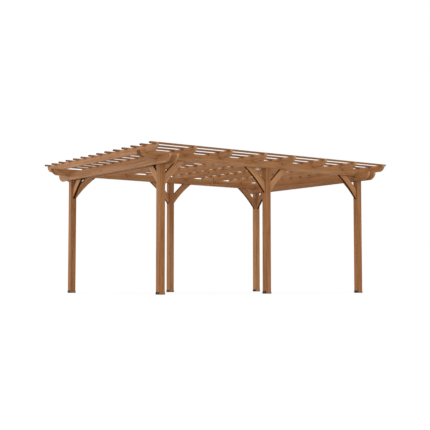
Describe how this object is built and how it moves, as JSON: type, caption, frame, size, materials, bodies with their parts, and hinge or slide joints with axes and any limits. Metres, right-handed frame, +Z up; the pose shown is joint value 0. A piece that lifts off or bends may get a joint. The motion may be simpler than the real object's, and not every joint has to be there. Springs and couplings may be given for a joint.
{
  "type": "wooden pergola",
  "caption": "Free-standing open timber pergola with posts in steel shoes, nosed beams and rafters, arched knee braces and a slatted top.",
  "frame": {"origin": "on the ground, at the middle of the plan", "axes": "+X along the long beams, +Y from the front row of posts to the back row, +Z up"},
  "size_m": [5.176, 3.84, 2.379],
  "materials": {
    "stained_timber": "sawn and planed softwood with a satin cedar-brown stain",
    "black_steel": "folded steel plate with a black powder coat"
  },
  "bodies": {
    "root": {"shoe_front_left": "black_steel", "shoe_front_middle": "black_steel", "shoe_front_right": "black_steel", "shoe_back_left": "black_steel", "shoe_back_middle": "black_steel", "shoe_back_right": "black_steel", "post_front_left": "stained_timber", "post_front_middle": "stained_timber", "post_front_right": "stained_timber", "post_back_left": "stained_timber", "post_back_middle": "stained_timber", "post_back_right": "stained_timber", "beam_front": "stained_timber", "beam_back": "stained_timber", "tie_left_outer": "stained_timber", "tie_left_inner": "stained_timber", "tie_right_outer": "stained_timber", "tie_right_inner": "stained_timber", "braces_front_left": "stained_timber", "braces_front_middle": "stained_timber", "braces_front_right": "stained_timber", "braces_back_left": "stained_timber", "braces_back_middle": "stained_timber", "braces_back_right": "stained_timber", "rafter_1": "stained_timber", "rafter_2": "stained_timber", "rafter_3": "stained_timber", "rafter_4": "stained_timber", "rafter_5": "stained_timber", "rafter_6": "stained_timber", "rafter_7": "stained_timber", "rafter_8": "stained_timber", "slat_1": "stained_timber", "slat_2": "stained_timber", "slat_3": "stained_timber", "slat_4": "stained_timber", "slat_5": "stained_timber", "slat_6": "stained_timber", "slat_7": "stained_timber", "slat_8": "stained_timber", "slat_9": "stained_timber", "slat_10": "stained_timber", "slat_11": "stained_timber", "slat_12": "stained_timber", "slat_13": "stained_timber", "slat_14": "stained_timber"}
  },
  "joints": []
}
